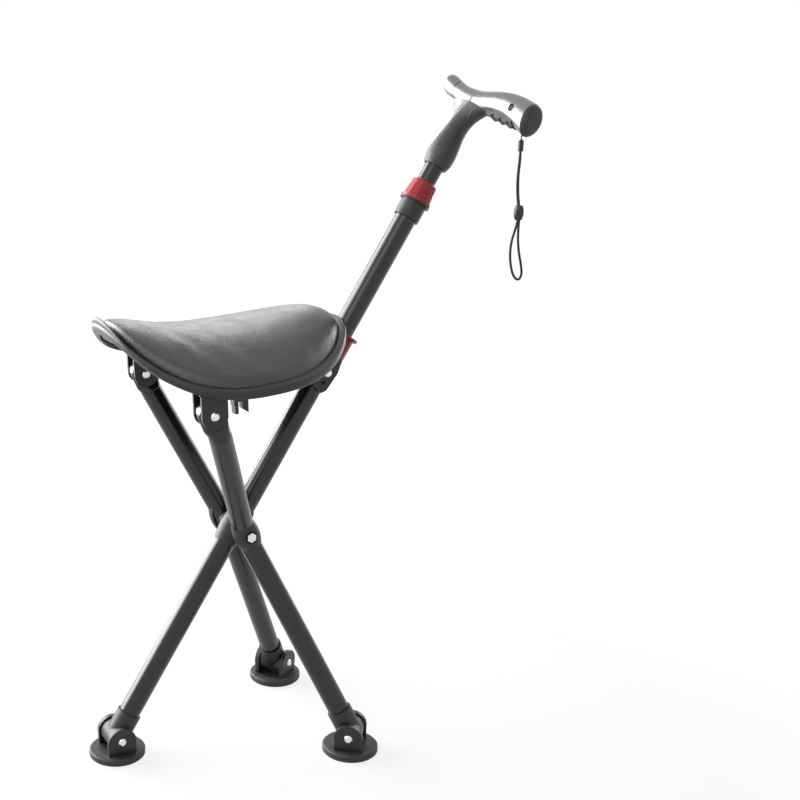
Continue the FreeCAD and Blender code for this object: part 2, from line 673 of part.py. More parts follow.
def make_slider_rivet():
    """The +Y stub that joins the rear bracket to the slider's flat side."""
    face = SLIDER_FLAT + REAR_EAR_GAP + REAR_EAR_THICKNESS
    across = V(0, 1, 0)
    stub = cylinder(STUB_RADIUS, TUBE_RADIUS + 0.4, face, across)
    head = revolved([(0, face), (RIVET_HEAD_RADIUS, face), (RIVET_HEAD_RADIUS * 0.7, face + RIVET_HEAD),
                     (0, face + RIVET_HEAD)])
    head.rotate(V(), V(1, 0, 0), -90.0)
    return stub.fuse(head)


def make_cord_clip():
    clip = plate_slab().common(clip_plate_box())
    left = CLIP_ALONG - CLIP_LENGTH / 2
    right = CLIP_ALONG + CLIP_LENGTH / 2
    near = CLIP_SIDE - CLIP_WIDTH / 2
    far = CLIP_SIDE + CLIP_WIDTH / 2
    body = box((left, near, CLIP_BODY_LOW), (right, far, WEB_TOP))
    prongs = box((left + 1.0, near, CLIP_PRONG_LOW), (right, far, CLIP_BODY_LOW))
    slot = box((left + 5.0, near, CLIP_PRONG_LOW), (left + 5.0 + CLIP_SLOT, far, CLIP_BODY_LOW + 4.0))
    lead = Part.Face(Part.makePolygon([V(right - 6.5, near, CLIP_PRONG_LOW), V(right, near, CLIP_PRONG_LOW),
                                       V(right - 6.5, near, CLIP_PRONG_LOW + 4.5),
                                       V(right - 6.5, near, CLIP_PRONG_LOW)])).extrude(V(0, CLIP_WIDTH, 0))
    clip = clip.fuse(below_floor(body.fuse(prongs).cut(slot).cut(lead)))
    return clip.removeSplitter()


# Slider, in the stick's frame from its pivot

def make_slider():
    body = cylinder(SLIDER_RADIUS, SLIDER_SHOULDER, SLIDER_FLANGE_LOW)
    body = body.fuse(cylinder(SLIDER_NECK_RADIUS, SLIDER_LOW, SLIDER_SHOULDER))
    body = body.common(box((-30, -SLIDER_FLAT, SLIDER_LOW), (30, SLIDER_FLAT, SLIDER_FLANGE_LOW)))
    flange = cylinder(SLIDER_FLANGE_RADIUS, SLIDER_FLANGE_LOW, SLIDER_FLANGE_LOW + SLIDER_FLANGE)
    lug = box((-LUG_REACH, -LUG_HALF_WIDTH, LUG_LOW), (0, LUG_HALF_WIDTH, LUG_HIGH))
    body = body.fuse(flange).fuse(lug)
    top = SLIDER_FLANGE_LOW + SLIDER_FLANGE
    body = body.cut(cylinder(TUBE_RADIUS + RUNNING, SLIDER_LOW, top))
    body = body.cut(cylinder(STUB_RADIUS + RUNNING, -SLIDER_RADIUS, SLIDER_RADIUS, V(0, 1, 0)))
    return body.removeSplitter()


# Handle, in a frame whose X points to the big end and Z runs up the tube

GRIP_STATIONS = [(-49.0, 562.0, 7.5, 7.5), (-44.0, 561.0, 10.6, 10.4), (-24.0, 554.5, 10.4, 10.4),
                 (-6.0, 549.0, 11.4, 11.4), (12.0, 546.5, 12.4, 12.2), (40.0, 549.0, 12.8, 12.8),
                 (65.0, 547.5, 14.6, 13.6), (85.0, 542.0, 16.8, 14.6), (97.0, 538.0, 17.6, 15.0)]
STEM_STATIONS = [(464.0, 0.0, 13.4, 13.4), (468.0, 0.0, 15.2, 15.2), (485.0, 0.0, 16.6, 16.2),
                 (503.0, 0.0, 14.2, 13.8), (519.0, 1.0, 14.4, 12.8), (530.0, 4.0, 20.0, 12.0),
                 (538.0, 7.0, 28.0, 11.4), (546.0, 9.0, 34.0, 10.6)]


def grip_loft(stations, swell=0.0, inset=0.0):
    wires = []
    for along, height, half_up, half_across in stations:
        wires.append(section(V(along, 0, height), V(0, 1, 0), V(0, 0, 1), half_across - inset,
                             half_up + swell - inset))
    return Part.makeLoft(wires, True, False)


def stem_loft():
    wires = []
    for height, along, half_along, half_across in STEM_STATIONS:
        wires.append(section(V(along, 0, height), V(1, 0, 0), V(0, 1, 0), half_along, half_across))
    return Part.makeLoft(wires, True, False)


def slice_between(shape, low, high):
    return shape.common(box((low, -GRIP_TRIM, STEM_LOW - GRIP_TRIM), (high, GRIP_TRIM, STEM_LOW + GRIP_TRIM * 3)))


def make_grip_pieces():
    grip = grip_loft(GRIP_STATIONS)
    inner = grip_loft(GRIP_STATIONS, 0.0, SEAM_DEPTH)
    nose = slice_between(grip, -GRIP_TRIM, NOSE_SEAM - SEAM_WIDTH)
    nose = nose.fuse(slice_between(inner, NOSE_SEAM - SEAM_WIDTH * 2, NOSE_SEAM)).removeSplitter()
    middle = slice_between(grip, NOSE_SEAM, GRIP_SEAM)
    shell = slice_between(grip, GRIP_SEAM, CAP_SEAM)
    stem = stem_loft().cut(nose).cut(shell)
    core = stem.fuse(middle)
    bottom = STEM_LOW
    core = core.cut(cylinder(INNER_RADIUS, bottom - 1.0, INNER_TUBE_TOP))
    return nose, core.removeSplitter(), shell.cut(screw_recess())


def screw_recess():
    """The round hollow in the grip's side, where the cap's screw sits."""
    return cylinder(SCREW_RECESS_RADIUS, -SCREW_RECESS_DEPTH * 2, SCREW_RECESS_DEPTH, V(0, 1, 0), V(*SCREW_AT))


def make_cap_screw():
    floor = SCREW_RECESS_DEPTH
    screw = cylinder(SCREW_RADIUS, SCREW_SLOT, floor, V(0, 1, 0), V(*SCREW_AT))
    slot = box((-SCREW_SLOT / 2, 0, -SCREW_RADIUS), (SCREW_SLOT / 2, SCREW_SLOT * 1.6, SCREW_RADIUS))
    slot.rotate(V(), V(0, 1, 0), 35.0)
    slot.translate(V(*SCREW_AT))
    return screw.cut(slot)


def make_end_cap():
    _, height, half_up, half_across = GRIP_STATIONS[-1]
    wires = []
    for share in (0.0, 0.6, 1.0):
        shrink = math.sqrt(1.0 - (share * 0.85) ** 2)
        wires.append(section(V(CAP_SEAM + CAP_LENGTH * share, 0, height), V(0, 1, 0), V(0, 0, 1),
                             half_across * shrink, half_up * shrink))
    return Part.makeLoft(wires, True, False)


def make_finger_pad(shell):
    """The rubber strip with three swellings under the grip."""
    skin = slice_between(grip_loft(GRIP_STATIONS, FINGER_SWELL), FINGER_STATIONS[0] - 11, FINGER_STATIONS[-1] + 11)
    half = FINGER_PAD_HALF
    pad = skin.common(box((0, -half, STEM_LOW), (CAP_SEAM, half, FINGER_PAD_TOP)))
    for station in FINGER_STATIONS:
        rest = FINGER_BUMP_HEIGHT - (station - FINGER_STATIONS[0]) * FINGER_SLOPE
        bump = cylinder(FINGER_RADIUS, -FINGER_RADIUS, FINGER_RADIUS, V(0, 1, 0), V(station, 0, rest))
        pad = pad.fuse(bump)
    pad = pad.cut(shell)
    pieces = [piece for piece in pad.Solids if piece.CenterOfMass.z < FINGER_PAD_TOP]
    pieces.sort(key=lambda piece: piece.Volume)
    return pieces[-1]


def make_guide_bush():
    low = INNER_TUBE_BOTTOM - 2.0
    outer = TUBE_RADIUS - TUBE_WALL - RUNNING
    bush = cylinder(outer, low, low + BUSH_LENGTH).cut(cylinder(INNER_RADIUS - INNER_WALL, low, low + BUSH_LENGTH))
    return bush.cut(cylinder(INNER_RADIUS, INNER_TUBE_BOTTOM, low + BUSH_LENGTH))


def make_inner_tube():
    return cylinder(INNER_RADIUS, INNER_TUBE_BOTTOM, INNER_TUBE_TOP).cut(
        cylinder(INNER_RADIUS - INNER_WALL, INNER_TUBE_BOTTOM, INNER_TUBE_TOP))


# Wrist strap

def strap_anchor():
    return HANDLE.multVec(V(STRAP_G, 0, STRAP_T))


def strap_point(side, drop, depth=0.0):
    """A point below the anchor: sideways, down, and away from the viewer."""
    turn = radians(VIEW_TURN)
    across = V(math.cos(turn), math.sin(turn), 0)
    away = V(-math.sin(turn), math.cos(turn), 0)
    return strap_anchor() + across * side + away * depth + V(0, 0, drop)


STRAP_ROUTE = [
    (0.2, -17.0, -1.7), (0.0, -29.0, -1.9), (-0.6, -41.0, -1.6), (-0.4, -53.0, -1.8), (0.8, -64.0, -1.6),
    (2.6, -75.0, -1.7), (3.4, -87.0, -1.7), (1.0, -99.0, -1.9), (-2.2, -112.0, -1.2), (-2.6, -126.0, -0.4),
    (-0.6, -139.0, 0.0), (3.0, -150.0, 0.2), (9.2, -155.0, 0.4), (12.6, -148.5, 0.6), (11.0, -138.0, 0.8),
    (7.6, -125.0, 1.0), (5.6, -112.0, 1.5), (5.0, -99.0, 1.9), (5.2, -87.0, 1.7), (4.2, -75.0, 1.7),
    (2.2, -64.0, 1.9), (1.2, -53.0, 1.6), (0.6, -41.0, 1.8), (1.4, -29.0, 1.7), (1.0, -17.0, 1.7),
]


def strap_route():
    return [strap_point(side, drop, depth) for side, drop, depth in STRAP_ROUTE]


def route_radii(points):
    radii = []
    for i in range(1, len(points) - 1):
        before = points[i - 1] - points[i]
        after = points[i + 1] - points[i]
        turn = math.pi - before.getAngle(after)
        radii.append(0.45 * min(before.Length, after.Length) / math.tan(turn / 2.0))
    return radii


def make_strap_cord():
    points = strap_route()
    radii = route_radii(points)
    print("strap radii", ", ".join("%.1f" % radius for radius in radii))
    wire = bent_wire(points, radii)
    cord = swept(wire, CORD_RADIUS)
    print("strap length %.1f, volume ratio %.4f" % (
        wire.Length, cord.Volume / (math.pi * CORD_RADIUS ** 2 * wire.Length)))
    return cord


def make_strap_ferrule():
    top = -FERRULE_CORD_DROP
    low = top - FERRULE_CORD_LENGTH
    profile = [(0, low), (FERRULE_CORD_RADIUS, low), (FERRULE_CORD_RADIUS, top - 1.5), (1.6, top), (0, top)]
    ferrule = revolved(profile)
    ferrule.translate(strap_point(0.6, 0.0))
    return ferrule


def make_strap_thread():
    anchor = strap_point(0.6, 0.0)
    top = 6.0
    return cylinder(THREAD_RADIUS, -FERRULE_CORD_DROP, top, V(0, 0, 1), anchor)


def make_strap_bead(cord):
    half = (BEAD_TOP - BEAD_BOTTOM) / 2.0
    bead = barrel(BEAD_RADIUS, BEAD_RADIUS * 0.72, half)
    bead.translate(strap_point(3.8, (BEAD_TOP + BEAD_BOTTOM) / 2.0))
    bead = bead.cut(cord)
    pieces = sorted(bead.Solids, key=lambda piece: piece.Volume)
    return pieces[-1]


def save_stick():
    save("main_tube", put(make_main_tube(), STICK))
    save("hub_sleeve", put(make_hub_sleeve(), STICK))
    save("pivot_bolt", put(make_pivot_bolt(), STICK))
    save("bolt_nut", put(make_bolt_nut(), STICK))
    save("lock_ferrule", put(make_ferrule(), STICK))
    save("lock_collet", put(make_collet(), STICK))
    save("lock_nut", put(make_lock_nut(), STICK))
    save("main_knuckle", put(make_knuckle(TUBE_TILT), ground_frame(FOOT)))


def save_legs():
    tube = make_leg_tube()
    pad = make_leg_pad()
    washer = make_hub_washer()
    rise = math.degrees(math.asin(LEG_LOWER * math.sin(radians(LEG_TILT)) / LEG_LOWER_RUN))
    knuckle = make_knuckle(180.0 - rise)
    for name, side in (("left", -1), ("right", 1)):
        shapes = (("leg_tube_", tube), ("leg_pad_", pad), ("hub_washer_", washer))
        for prefix, shape in shapes:
            sided = shape if side > 0 else mirrored(shape)
            save(prefix + name, put(sided, LEGS))
        save("leg_knuckle_" + name, put(knuckle, foot_frame(side)))


def foot_frame(side):
    """side is 0 for the main foot, -1 for the -Y leg and 1 for the +Y leg."""
    if side == 0:
        return ground_frame(FOOT)
    across = LEG_LOWER * math.cos(radians(LEG_TILT))
    return ground_frame(V(HUB.x + across, side * LEG_FOOT_SIDE, FOOT_PIVOT_HEIGHT), side * LEG_SPREAD)


def save_feet():
    clevis = make_clevis()
    sole = make_sole()
    pin = make_foot_pin()
    for name, side in (("main", 0), ("left", -1), ("right", 1)):
        frame = foot_frame(side)
        save("foot_clevis_" + name, put(clevis, frame))
        save("foot_sole_" + name, put(sole, frame))
        save("foot_pin_" + name, put(pin, frame))


def save_seat():
    save("seat_shell", put(make_seat_shell(), SEAT))
    save("seat_cushion", put(make_cushion(), SEAT))
    save("rear_bracket", put(make_rear_bracket(), SEAT))
    save("cord_clip", put(make_cord_clip(), SEAT))
    bracket = make_side_bracket()
    rivet = make_side_rivet()
    stub = make_slider_rivet()
    for name, side in (("left", -1), ("right", 1)):
        for prefix, shape in (("side_bracket_", bracket), ("leg_rivet_", rivet), ("slider_rivet_", stub)):
            sided = shape if side > 0 else mirrored(shape)
            save(prefix + name, put(sided, SEAT))
    save("slider", put(make_slider(), SLIDER))


def save_handle():
    nose, core, shell = make_grip_pieces()
    save("inner_tube", put(make_inner_tube(), STICK))
    save("guide_bush", put(make_guide_bush(), STICK))
    save("handle_core", put(core, HANDLE))
    save("handle_nose", put(nose, HANDLE))
    thread = make_strap_thread()
    save("grip_shell", put(shell, HANDLE).cut(thread))
    save("cap_screw", put(make_cap_screw(), HANDLE))
    save("end_cap", put(make_end_cap(), HANDLE))
    save("finger_pad", put(make_finger_pad(shell), HANDLE))
    cord = make_strap_cord()
    save("strap_cord", cord)
    save("strap_ferrule", make_strap_ferrule())
    save("strap_thread", thread)
    save("strap_bead", make_strap_bead(cord))


os.makedirs("parts", exist_ok=True)
save_stick()
save_legs()
save_feet()
save_seat()
save_handle()
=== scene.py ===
# %% [markdown]
# Walking stick seat, dressed for a studio picture. The moving frame of the stick comes from the
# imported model, and every piece made here rides on one of its bodies. Lengths are in metres and the
# origin is the centre of the main foot's sole, as in the model.

# %% Load the frame
import json
import math

import bmesh
import bpy
from mathutils import Matrix, Vector
from mathutils.kdtree import KDTree

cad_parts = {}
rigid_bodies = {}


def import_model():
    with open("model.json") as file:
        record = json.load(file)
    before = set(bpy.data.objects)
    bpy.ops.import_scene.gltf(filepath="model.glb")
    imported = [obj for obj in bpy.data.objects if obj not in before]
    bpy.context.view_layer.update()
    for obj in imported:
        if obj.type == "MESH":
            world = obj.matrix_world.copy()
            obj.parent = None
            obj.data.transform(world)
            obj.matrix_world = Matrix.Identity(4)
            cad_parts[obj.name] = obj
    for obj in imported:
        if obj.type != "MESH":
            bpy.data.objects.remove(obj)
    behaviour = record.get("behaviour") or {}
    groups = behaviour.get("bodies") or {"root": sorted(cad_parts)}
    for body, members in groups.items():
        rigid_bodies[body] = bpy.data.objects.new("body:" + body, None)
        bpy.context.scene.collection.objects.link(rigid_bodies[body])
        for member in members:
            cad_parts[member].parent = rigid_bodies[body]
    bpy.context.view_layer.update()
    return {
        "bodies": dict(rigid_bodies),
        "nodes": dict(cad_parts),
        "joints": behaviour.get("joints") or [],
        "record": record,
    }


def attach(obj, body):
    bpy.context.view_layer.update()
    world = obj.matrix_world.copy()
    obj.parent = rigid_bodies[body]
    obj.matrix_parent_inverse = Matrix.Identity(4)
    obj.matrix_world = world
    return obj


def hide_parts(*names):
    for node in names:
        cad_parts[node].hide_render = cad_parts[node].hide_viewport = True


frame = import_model()
nodes = frame["nodes"]
joints = {joint["name"]: joint for joint in frame["joints"]}
mm = 0.001
print("bodies", ", ".join(sorted(frame["bodies"])))

# %% [markdown]
# The pivots say where everything is. The stick's frame starts at the hub bolt and its third axis runs
# up the tube. The handle is turned a little about the tube, and the seat's frame runs from the leg
# pivots to the slider's pivot.

# %% Working frames
UP = Vector((0.0, 0.0, 1.0))
hub = Vector(joints["fold"]["pos_m"])
tube_axis = Vector(joints["handle_slide"]["axis"]).normalized()
slider_pivot = Vector(joints["slider_hinge"]["pos_m"])
leg_pivot = Vector(joints["seat_hinge"]["pos_m"])
leg_pivot.y = 0.0


def working_frame(origin, along, up):
    side = up.cross(along).normalized()
    lift = along.cross(side).normalized()
    turned = Matrix((along.normalized(), side, lift)).transposed().to_4x4()
    return Matrix.Translation(origin) @ turned


stick_frame = working_frame(hub, tube_axis.cross(Vector((0.0, 1.0, 0.0))) * -1.0, tube_axis)
seat_frame = working_frame(slider_pivot, slider_pivot - leg_pivot, UP)
HANDLE_YAW = math.radians(12.0 - 90.0)
handle_frame = stick_frame @ Matrix.Rotation(HANDLE_YAW, 4, "Z")
print("tube axis", [round(c, 4) for c in tube_axis], "grip axis", [round(c, 4) for c in handle_frame.col[0]])

# %% [markdown]
# The camera stands where the photographer stood: a little to the left of the stick's plane, looking
# down by 20 degrees. It aims at the hub, and the shift puts the hub where the picture has it.

# %% Camera
VIEW_AZIMUTH = math.radians(-23.8)
VIEW_ELEVATION = math.radians(20.2)
VIEW_DISTANCE = 1.450
HUB_IN_PICTURE = (234.45, 524.3)
PICTURE_SIZE = 800.0
FOCAL_PIXELS = 1248.0
SENSOR = 36.0

to_camera = Vector((math.sin(VIEW_AZIMUTH) * math.cos(VIEW_ELEVATION),
                    -math.cos(VIEW_AZIMUTH) * math.cos(VIEW_ELEVATION),
                    math.sin(VIEW_ELEVATION)))
camera_data = bpy.data.cameras.new("studio_camera")
camera_data.sensor_width = SENSOR
camera_data.lens = SENSOR * FOCAL_PIXELS / PICTURE_SIZE
camera_data.shift_x = (PICTURE_SIZE / 2.0 - HUB_IN_PICTURE[0]) / PICTURE_SIZE
camera_data.shift_y = (HUB_IN_PICTURE[1] - PICTURE_SIZE / 2.0) / PICTURE_SIZE
camera_data.clip_end = 50.0
camera = bpy.data.objects.new("studio_camera", camera_data)
bpy.context.scene.collection.objects.link(camera)
camera.location = hub + to_camera * VIEW_DISTANCE
camera.rotation_euler = to_camera.to_track_quat("Z", "Y").to_euler()
bpy.context.scene.camera = camera
print("camera at", [round(c, 3) for c in camera.location], "lens", round(camera_data.lens, 2))

# %% [markdown]
# The wrist strap is one cord. It leaves the small ferrule under the grip, runs down through the bead,
# makes a loop for the hand and comes back up beside itself. Its route is the one of the solid model,
# as a spline's points.

# %% Strap cord
CORD_DIAMETER = 0.0028
STRAP_ALONG_GRIP = 0.095
STRAP_UP_STICK = 0.521
STRAP_ROUTE = [
    (0.2, -17.0, -1.7), (0.0, -29.0, -1.9), (-0.6, -41.0, -1.6), (-0.4, -53.0, -1.8), (0.8, -64.0, -1.6),
    (2.6, -75.0, -1.7), (3.4, -87.0, -1.7), (1.0, -99.0, -1.9), (-2.2, -112.0, -1.2), (-2.6, -126.0, -0.4),
    (-0.6, -139.0, 0.0), (3.0, -150.0, 0.2), (9.2, -155.0, 0.4), (12.6, -148.5, 0.6), (11.0, -138.0, 0.8),
    (7.6, -125.0, 1.0), (5.6, -112.0, 1.5), (5.0, -99.0, 1.9), (5.2, -87.0, 1.7), (4.2, -75.0, 1.7),
    (2.2, -64.0, 1.9), (1.2, -53.0, 1.6), (0.6, -41.0, 1.8), (1.4, -29.0, 1.7), (1.0, -17.0, 1.7),
]

across_view = Vector((math.cos(VIEW_AZIMUTH), math.sin(VIEW_AZIMUTH), 0.0))
away_from_view = Vector((-math.sin(VIEW_AZIMUTH), math.cos(VIEW_AZIMUTH), 0.0))
strap_anchor = handle_frame @ Vector((STRAP_ALONG_GRIP, 0.0, STRAP_UP_STICK))


def strap_point(side, drop, depth):
    """A point below the anchor: sideways, down, and away from the viewer, in millimetres."""
    return strap_anchor + (across_view * side + away_from_view * depth + UP * drop) * mm


route = [strap_point(*point) for point in STRAP_ROUTE]
cord_curve = bpy.data.curves.new("strap_line", "CURVE")
cord_curve.dimensions = "3D"
cord_curve.bevel_depth = 1.0
cord_curve.bevel_resolution = 5
cord_curve.resolution_u = 10
line = cord_curve.splines.new("NURBS")
line.points.add(len(route) - 1)
for knot, place in zip(line.points, route):
    knot.co = (*place, 1.0)
    knot.radius = CORD_DIAMETER / 2.0
line.order_u = 3
line.use_endpoint_u = True
strap = bpy.data.objects.new("strap_line", cord_curve)
bpy.context.scene.collection.objects.link(strap)
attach(strap, "handle")
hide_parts("strap_cord")
print("strap from", [round(c, 4) for c in route[0]])

# %% [markdown]
# The seat is a saddle: it rises towards both ends and falls away to the sides, inside an egg-shaped
# outline. One short formula gives the height of its middle surface, and a second one walks round its
# outline. The same two formulas shape the solid model, so everything made from them here lies on the
# packed shell.

# %% Seat surface and outline
SEAT_BACK = 19.2
SEAT_HALF_LENGTH = 140.0
SEAT_HALF_WIDTH = 129.0
SEAT_TAPER = 0.092
SEAT_BELLY = 0.228
SEAT_SQUARENESS = 2.4
SADDLE_HEIGHT = 47.8
SADDLE_LOW = -108.0
SADDLE_RISES = (1.0, -8.8, -0.6, 9.8)
SADDLE_DROOP = 16.4
SADDLE_DROOP_TWIST = 2.9
RIM_WIDTH = 7.6
RIM_OVER = 4.0
RIM_UNDER = 4.6
RIM_GROOVE = 0.9
SEAT_MIDDLE = SEAT_BACK - SEAT_HALF_LENGTH


def saddle_height(along, side):
    far = (along - SADDLE_LOW) / 100.0
    rise = sum(step * far ** (power + 1) for power, step in enumerate(SADDLE_RISES))
    return SADDLE_HEIGHT + rise - (SADDLE_DROOP + SADDLE_DROOP_TWIST * far) * (side / 100.0) ** 2


def round_the_seat(angle, inset, share=1.0):
    """A point of the outline, moved in by the inset and then scaled by the share towards the middle."""
    power = 2.0 / SEAT_SQUARENESS
    along = math.copysign(abs(math.cos(angle)) ** power, math.cos(angle))
    side = math.copysign(abs(math.sin(angle)) ** power, math.sin(angle))
    width = (SEAT_HALF_WIDTH - inset) * (1.0 - SEAT_TAPER * along - SEAT_BELLY * along ** 2)
    return SEAT_MIDDLE + (SEAT_HALF_LENGTH - inset) * along * share, width * side * share


def on_seat(along, side, height):
    return seat_frame @ Vector((along * mm, side * mm, height * mm))


def new_piece(name, mesh_builder):
    mesh = bpy.data.meshes.new(name)
    mesh_builder.to_mesh(mesh)
    mesh_builder.free()
    made = bpy.data.objects.new(name, mesh)
    bpy.context.scene.collection.objects.link(made)
    return made


print("seat middle height", round(saddle_height(SEAT_MIDDLE, 0.0), 1), "mm over the pivot line")

# %% [markdown]
# The pad is foam under leatherette. Its cover is stretched over the foam and tucked into a narrow
# groove beside the rim, so it climbs steeply out of the groove, turns over a round shoulder and
# swells to a broad crown. The crown is thickest towards the two ends. The form starts a little thin,
# as a closed skin of rings.

# %% Cushion form
CUSHION_FLOOR = 1.4
SHOULDER_HEIGHT = 8.4
SHOULDER_LEAN = -1.6
SHOULDER_REACH = 6.0
CROWN = 11.6
CROWN_ENDS = 35.5
CROWN_LEAN = 1.9
SWELL = 1.2
EDGE_SCALE = 110.0
TOP_RINGS = 46
SPOKES = 160


def cushion_height(along, side, share):
    """The top of the finished pad over the pivot line."""
    end = (along - SEAT_MIDDLE) / SEAT_HALF_LENGTH
    edge = min((1.0 - share) * EDGE_SCALE / SHOULDER_REACH, 1.0)
    shoulder = (SHOULDER_HEIGHT + SHOULDER_LEAN * end) * math.sqrt(1.0 - (1.0 - edge) ** 2)
    crown = (CROWN + CROWN_ENDS * end ** 2 + CROWN_LEAN * end) * (1.0 - share ** 4)
    return saddle_height(along, side) + RIM_OVER - 1.5 + shoulder + crown


def cushion_form():
    made = bmesh.new()
    rings = []
    for step in range(1, TOP_RINGS + 1):
        share = 1.0 - (1.0 - step / TOP_RINGS) ** 1.6
        ring = []
        for spoke in range(SPOKES):
            angle = 2.0 * math.pi * spoke / SPOKES
            along, side = round_the_seat(angle, RIM_WIDTH + RIM_GROOVE, share)
            thin = SWELL * (1.0 - share ** 6)
            ring.append(made.verts.new(on_seat(along, side, cushion_height(along, side, share) - thin)))
        rings.append(ring)
    under = []
    for share in (1.0, 0.6, 0.2):
        ring = []
        for spoke in range(SPOKES):
            angle = 2.0 * math.pi * spoke / SPOKES
            along, side = round_the_seat(angle, RIM_WIDTH + RIM_GROOVE, share)
            ring.append(made.verts.new(on_seat(along, side, saddle_height(along, side) + CUSHION_FLOOR)))
        under.append(ring)
    skin = rings + under
    for inner, outer in zip(skin, skin[1:]):
        for spoke in range(SPOKES):
            after = (spoke + 1) % SPOKES
            made.faces.new((inner[spoke], outer[spoke], outer[after], inner[after]))
    made.faces.new(list(reversed(skin[0])))
    made.faces.new(skin[-1])
    bmesh.ops.recalc_face_normals(made, faces=made.faces)
    return made


cushion = new_piece("cushion_pad", cushion_form())
print("cushion form", len(cushion.data.vertices), "points")

# %% [markdown]
# Foam pushes its cover outwards, and a cover that is held at the groove answers with soft, slightly
# uneven swelling. Cloth with inside pressure does the same: the skin is remeshed to even squares, its
# underside is pinned to the shell, and twenty steps blow it up a little. How far a point may go is
# capped, so the pad keeps its form.

# %% Cushion filling
VOXEL = 0.0042
PRESSURE = 4.0
SWELL_CAP = 0.0032
SWELL_FOUND = 2.0
FILL_FRAMES = 20
PIN_HEIGHT = 3.4


def remeshed(piece, voxel):
    remesh = piece.modifiers.new("even_squares", "REMESH")
    remesh.mode = "VOXEL"
    remesh.voxel_size = voxel
    remesh.use_smooth_shade = True
    view = bpy.context.evaluated_depsgraph_get()
    mesh = bpy.data.meshes.new_from_object(piece.evaluated_get(view))
    piece.modifiers.clear()
    piece.data = mesh


def height_over_saddle(place):
    local = seat_frame.inverted() @ place
    return local.z / mm - saddle_height(local.x / mm, local.y / mm)


def blown_up(piece):
    """Where the cloth's points are after the last step."""
    rest = [point.co.copy() for point in piece.data.vertices]
    held = [point.index for point in piece.data.vertices if height_over_saddle(point.co) < PIN_HEIGHT]
    piece.vertex_groups.new(name="held").add(held, 1.0, "REPLACE")
    cloth = piece.modifiers.new("cover", "CLOTH")
    cloth.settings.quality = 6
    cloth.settings.mass = 0.4
    cloth.settings.tension_stiffness = 20.0
    cloth.settings.compression_stiffness = 20.0
    cloth.settings.shear_stiffness = 8.0
    cloth.settings.bending_stiffness = 1.2
    cloth.settings.use_pressure = True
    cloth.settings.uniform_pressure_force = PRESSURE
    cloth.settings.vertex_group_mass = "held"
    cloth.settings.effector_weights.gravity = 0.0
    cloth.point_cache.frame_start = 1
    cloth.point_cache.frame_end = FILL_FRAMES
    for step in range(1, FILL_FRAMES + 1):
        bpy.context.scene.frame_set(step)
    view = bpy.context.evaluated_depsgraph_get()
    shaped = piece.evaluated_get(view).to_mesh()
    moved = [point.co.copy() for point in shaped.vertices]
    piece.evaluated_get(view).to_mesh_clear()
    piece.modifiers.clear()
    piece.vertex_groups.clear()
    bpy.context.scene.frame_set(1)
    return rest, moved


def carried_over(piece, rest, moved):
    """Move the fine form's points as the nearest points of the cloth moved, fading towards the groove."""
    tree = KDTree(len(rest))
    for index, place in enumerate(rest):
        tree.insert(place, index)
    tree.balance()
    longest = 0.0
    for point in piece.data.vertices:
        if height_over_saddle(point.co) < PIN_HEIGHT + 1.0:
            continue
        push = Vector((0.0, 0.0, 0.0))
        weight = 0.0
        for _, index, distance in tree.find_n(point.co, 6):
            near = 1.0 / (distance + 0.001)
            push += (moved[index] - rest[index]) * near
            weight += near
        push /= weight
        if push.length > SWELL_CAP:
            push *= SWELL_CAP / push.length
        longest = max(longest, push.length)
        point.co += push * (SWELL / SWELL_FOUND)
    return longest


cloth_copy = cushion.copy()
cloth_copy.data = cushion.data.copy()
bpy.context.scene.collection.objects.link(cloth_copy)
remeshed(cloth_copy, VOXEL)
rest_places, filled_places = blown_up(cloth_copy)
bpy.data.objects.remove(cloth_copy)
print("cover moved by up to", round(carried_over(cushion, rest_places, filled_places) / mm, 2), "mm")
finer = cushion.modifiers.new("finer", "SUBSURF")
finer.levels = 1
finer.render_levels = 1
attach(cushion, "seat")
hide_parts("seat_cushion")
print("cushion", len(cushion.data.vertices), "points")

# %% [markdown]
# The shell's edge is rolled: a smooth round lip runs all the way round the seat. It is made as a tube
# whose section is a soft rectangle, carried round the same outline, and it wraps the plain edge of
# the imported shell.

# %% Rolled rim
RIM_SKIN = 0.35
RIM_SPOKES = 220
RIM_SECTION_POINTS = 20
RIM_SECTION_SQUARENESS = 2.7


def rim_section(turn):
    """A point of the lip's section: inwards from the outline and up, from the middle of the lip."""
    power = 2.0 / RIM_SECTION_SQUARENESS
    inward = math.copysign(abs(math.cos(turn)) ** power, math.cos(turn))
    lift = math.copysign(abs(math.sin(turn)) ** power, math.sin(turn))
    half_width = RIM_WIDTH / 2.0 + RIM_SKIN
    half_height = (RIM_OVER + RIM_UNDER) / 2.0 + RIM_SKIN
    return RIM_WIDTH / 2.0 - inward * half_width, (RIM_OVER - RIM_UNDER) / 2.0 + lift * half_height


def rim_form():
    made = bmesh.new()
    loops = []
    for spoke in range(RIM_SPOKES):
        angle = 2.0 * math.pi * spoke / RIM_SPOKES
        loop = []
        for point in range(RIM_SECTION_POINTS):
            inset, lift = rim_section(2.0 * math.pi * point / RIM_SECTION_POINTS)
            along, side = round_the_seat(angle, inset)
            loop.append(made.verts.new(on_seat(along, side, saddle_height(along, side) + lift)))
        loops.append(loop)
    for spoke in range(RIM_SPOKES):
        here = loops[spoke]
        there = loops[(spoke + 1) % RIM_SPOKES]
        for point in range(RIM_SECTION_POINTS):
            after = (point + 1) % RIM_SECTION_POINTS
            made.faces.new((here[point], here[after], there[after], there[point]))
    bmesh.ops.recalc_face_normals(made, faces=made.faces)
    return made


rim = new_piece("seat_rim", rim_form())
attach(rim, "seat")
print("rim", len(rim.data.vertices), "points")

